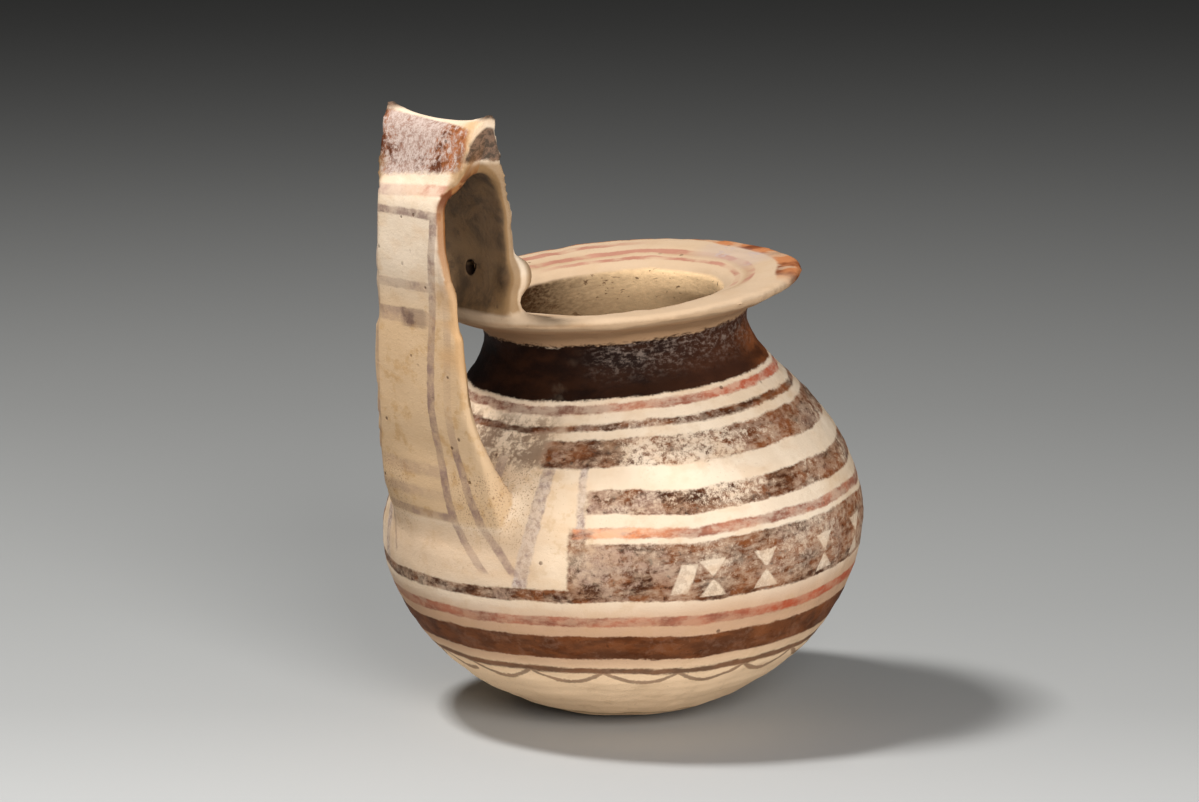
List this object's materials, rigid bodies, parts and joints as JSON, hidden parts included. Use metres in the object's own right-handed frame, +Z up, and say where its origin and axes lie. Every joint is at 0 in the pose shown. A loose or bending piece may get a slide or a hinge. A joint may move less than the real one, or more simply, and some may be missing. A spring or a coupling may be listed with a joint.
{
  "type": "terracotta jug",
  "caption": "Round-bellied hand-thrown clay jug with a wide everted rim and a tall double-strap handle ending in a horned crest.",
  "frame": {"origin": "centre of the small flat under the round belly that the jug rests on", "axes": "+Z up through the belly and the mouth, -X towards the handle"},
  "size_m": [0.1669, 0.1572, 0.2029],
  "materials": {
    "painted_clay": "matt, unglazed, painted with worn dark brown and red slip bands"
  },
  "bodies": {
    "root": {"jug": "painted_clay"}
  },
  "joints": []
}
